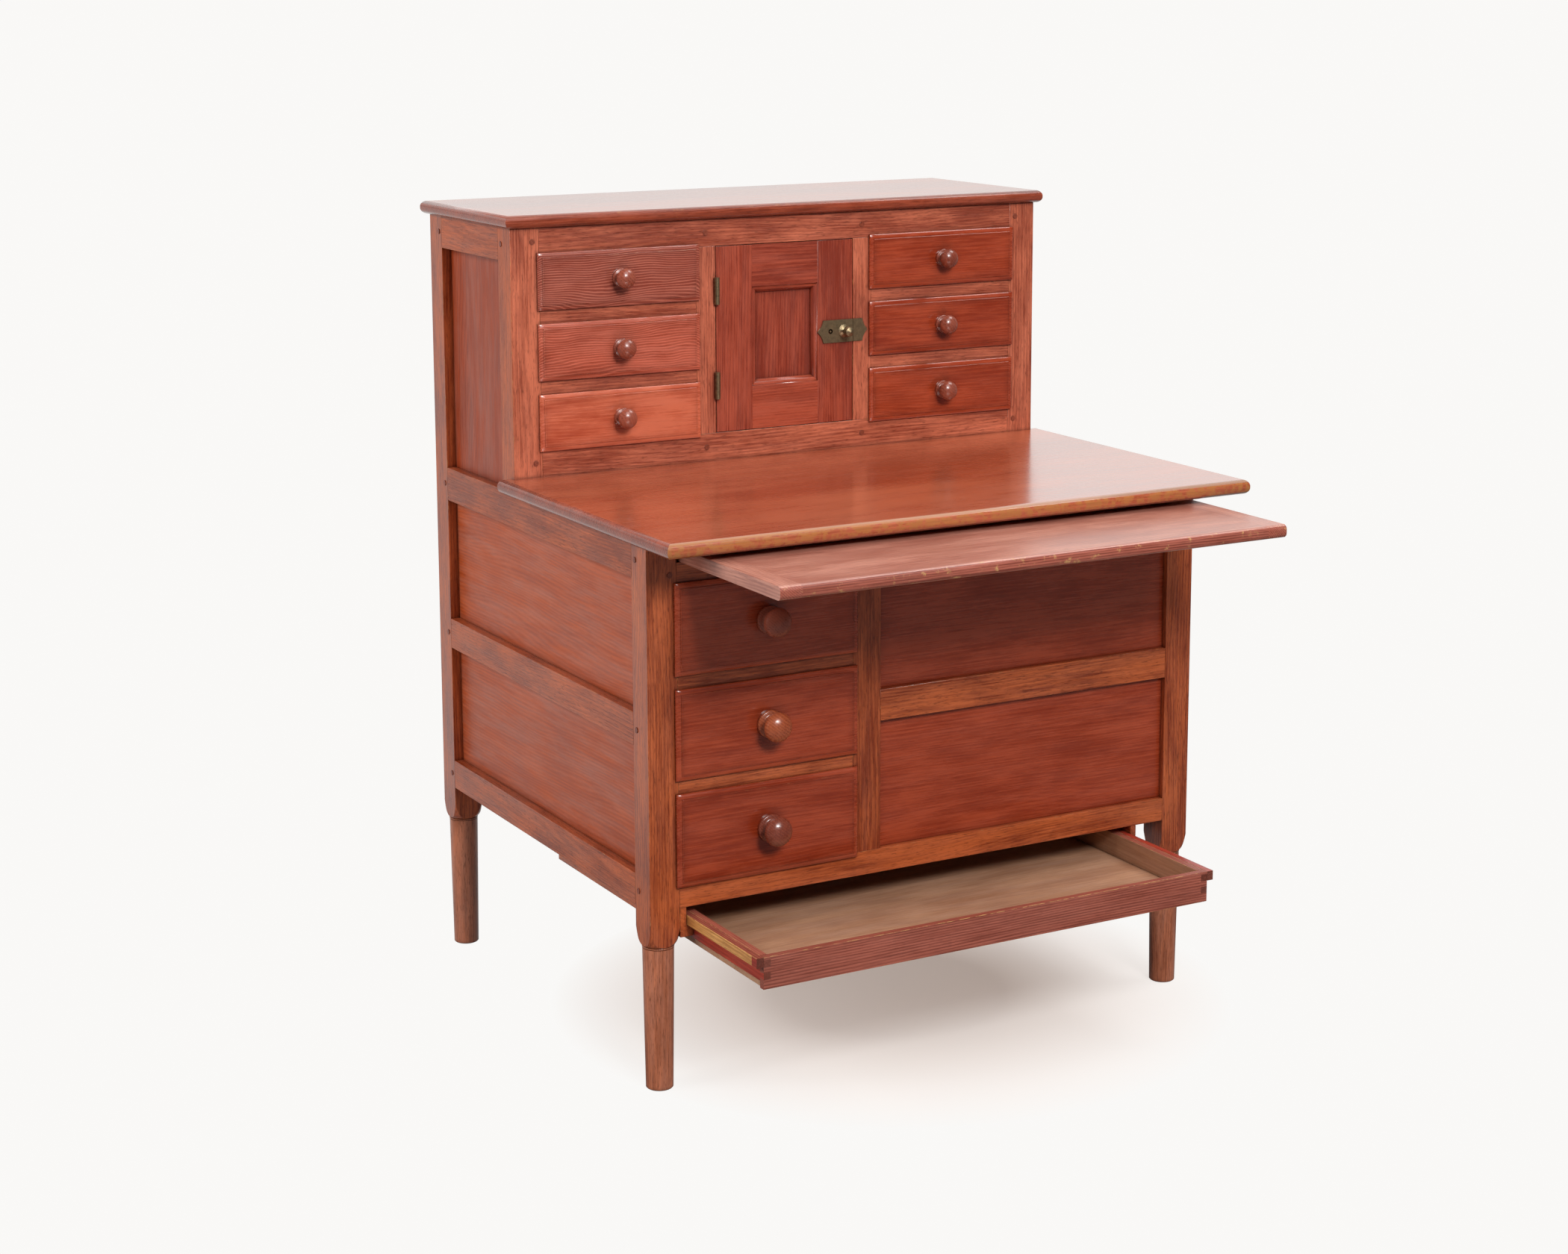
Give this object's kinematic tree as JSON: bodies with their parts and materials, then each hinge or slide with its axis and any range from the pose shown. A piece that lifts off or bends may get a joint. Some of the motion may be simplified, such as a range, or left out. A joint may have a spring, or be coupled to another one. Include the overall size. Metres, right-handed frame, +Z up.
{
  "type": "sewing desk",
  "caption": "Free-standing panelled sewing desk with a raised gallery of small drawers and a latched cupboard, a pull-out work slide and a hung sliding tray.",
  "frame": {"origin": "on the floor, under the middle of the desk's outer box with the work slide and tray drawn out as at rest", "axes": "+Z up, +X to the right and +Y to the back, seen by someone who faces the desk's front"},
  "size_m": [0.8376, 0.8834, 1.0162],
  "materials": {
    "frame_wood": "thin red-brown wash over maple or birch, rubbed shellac",
    "drawer_wood": "deep red-orange stain over raised grain, shellac",
    "panel_wood": "pinkish brown stain, thinner than the frame's",
    "top_wood": "red-brown stain under polished shellac, worn at the edges",
    "knob_wood": "dark brown turned hardwood, handled to a gloss",
    "inside_wood": "bare pine, aged to tan",
    "slide_wood": "matt pinkish brown stain, worn with use",
    "hardware_brass": "old brass, dull and olive with age"
  },
  "bodies": {
    "case": {"front_legs": "frame_wood", "rear_legs": "frame_wood", "front_rails": "frame_wood", "front_mid_stile": "frame_wood", "front_divider_rails": "frame_wood", "front_panels": "panel_wood", "left_side_rails": "frame_wood", "left_side_panels": "panel_wood", "right_side_rails": "frame_wood", "back_frame": "frame_wood", "back_panels": "panel_wood", "worktop": "top_wood", "gallery_posts": "frame_wood", "gallery_rails": "frame_wood", "gallery_stiles": "frame_wood", "gallery_side_rails": "frame_wood", "gallery_side_panels": "panel_wood", "gallery_inside": "inside_wood", "gallery_top": "top_wood", "pegs": "knob_wood", "case_partition": "inside_wood", "drawer_runners": "inside_wood", "slide_guides": "inside_wood", "tray_hangers": "frame_wood", "hinge_case_leaves": "hardware_brass", "hinge_pins": "hardware_brass", "keeper": "hardware_brass"},
    "front_drawer_bottom": {"front_drawer_bottom_front": "drawer_wood", "front_drawer_bottom_box": "inside_wood"},
    "side_drawer_bottom": {"side_drawer_bottom_front": "drawer_wood", "side_drawer_bottom_box": "inside_wood"},
    "front_drawer_middle": {"front_drawer_middle_front": "drawer_wood", "front_drawer_middle_box": "inside_wood"},
    "side_drawer_middle": {"side_drawer_middle_front": "drawer_wood", "side_drawer_middle_box": "inside_wood"},
    "front_drawer_top": {"front_drawer_top_front": "drawer_wood", "front_drawer_top_box": "inside_wood"},
    "side_drawer_top": {"side_drawer_top_front": "drawer_wood", "side_drawer_top_box": "inside_wood"},
    "gallery_drawer_left_bottom": {"gallery_drawer_left_bottom_front": "drawer_wood", "gallery_drawer_left_bottom_box": "inside_wood"},
    "gallery_drawer_left_middle": {"gallery_drawer_left_middle_front": "drawer_wood", "gallery_drawer_left_middle_box": "inside_wood"},
    "gallery_drawer_left_top": {"gallery_drawer_left_top_front": "drawer_wood", "gallery_drawer_left_top_box": "inside_wood"},
    "gallery_drawer_right_bottom": {"gallery_drawer_right_bottom_front": "drawer_wood", "gallery_drawer_right_bottom_box": "inside_wood"},
    "gallery_drawer_right_middle": {"gallery_drawer_right_middle_front": "drawer_wood", "gallery_drawer_right_middle_box": "inside_wood"},
    "gallery_drawer_right_top": {"gallery_drawer_right_top_front": "drawer_wood", "gallery_drawer_right_top_box": "inside_wood"},
    "work_slide": {"work_slide": "slide_wood"},
    "bottom_tray": {"tray_frame": "frame_wood", "tray_bottom": "inside_wood"},
    "cupboard_door": {"door_frame": "drawer_wood", "door_panel": "drawer_wood", "hinge_door_leaves": "hardware_brass", "lock_case": "hardware_brass"},
    "latch_knob": {"latch_knob": "hardware_brass"},
    "latch_bolt": {"latch_bolt": "hardware_brass"}
  },
  "joints": [
    {"name": "front_drawer_bottom_slide", "type": "slide", "parent": "case", "child": "front_drawer_bottom", "axis": [0, -1, 0], "range_m": [0, 0.46]},
    {"name": "side_drawer_bottom_slide", "type": "slide", "parent": "case", "child": "side_drawer_bottom", "axis": [1, 0, 0], "range_m": [0, 0.36]},
    {"name": "front_drawer_middle_slide", "type": "slide", "parent": "case", "child": "front_drawer_middle", "axis": [0, -1, 0], "range_m": [0, 0.46]},
    {"name": "side_drawer_middle_slide", "type": "slide", "parent": "case", "child": "side_drawer_middle", "axis": [1, 0, 0], "range_m": [0, 0.36]},
    {"name": "front_drawer_top_slide", "type": "slide", "parent": "case", "child": "front_drawer_top", "axis": [0, -1, 0], "range_m": [0, 0.46]},
    {"name": "side_drawer_top_slide", "type": "slide", "parent": "case", "child": "side_drawer_top", "axis": [1, 0, 0], "range_m": [0, 0.36]},
    {"name": "gallery_drawer_left_bottom_slide", "type": "slide", "parent": "case", "child": "gallery_drawer_left_bottom", "axis": [0, -1, 0], "range_m": [0, 0.175]},
    {"name": "gallery_drawer_left_middle_slide", "type": "slide", "parent": "case", "child": "gallery_drawer_left_middle", "axis": [0, -1, 0], "range_m": [0, 0.175]},
    {"name": "gallery_drawer_left_top_slide", "type": "slide", "parent": "case", "child": "gallery_drawer_left_top", "axis": [0, -1, 0], "range_m": [0, 0.175]},
    {"name": "gallery_drawer_right_bottom_slide", "type": "slide", "parent": "case", "child": "gallery_drawer_right_bottom", "axis": [0, -1, 0], "range_m": [0, 0.175]},
    {"name": "gallery_drawer_right_middle_slide", "type": "slide", "parent": "case", "child": "gallery_drawer_right_middle", "axis": [0, -1, 0], "range_m": [0, 0.175]},
    {"name": "gallery_drawer_right_top_slide", "type": "slide", "parent": "case", "child": "gallery_drawer_right_top", "axis": [0, -1, 0], "range_m": [0, 0.175]},
    {"name": "work_slide_slide", "type": "slide", "parent": "case", "child": "work_slide", "axis": [0, -1, 0], "range_m": [-0.155, 0.12]},
    {"name": "bottom_tray_slide", "type": "slide", "parent": "case", "child": "bottom_tray", "axis": [0, -1, 0], "range_m": [-0.176, 0.2]},
    {"name": "door_hinge", "type": "hinge", "parent": "case", "child": "cupboard_door", "pos_m": [-0.1132, 0.16555, 0.842], "axis": [0, 0, 1], "range_deg": [-155, 0]},
    {"name": "latch_turn", "type": "hinge", "parent": "cupboard_door", "child": "latch_knob", "pos_m": [0.0781, 0.1693, 0.842], "axis": [0, -1, 0], "range_deg": [0, 50]},
    {"name": "bolt_slide", "type": "slide", "parent": "cupboard_door", "child": "latch_bolt", "axis": [1, 0, 0], "range_m": [0, 0.00549]}
  ],
  "couplings": [
    {"joint": "bolt_slide", "follows": "latch_turn", "m_per_rad": 0.0062956}
  ]
}
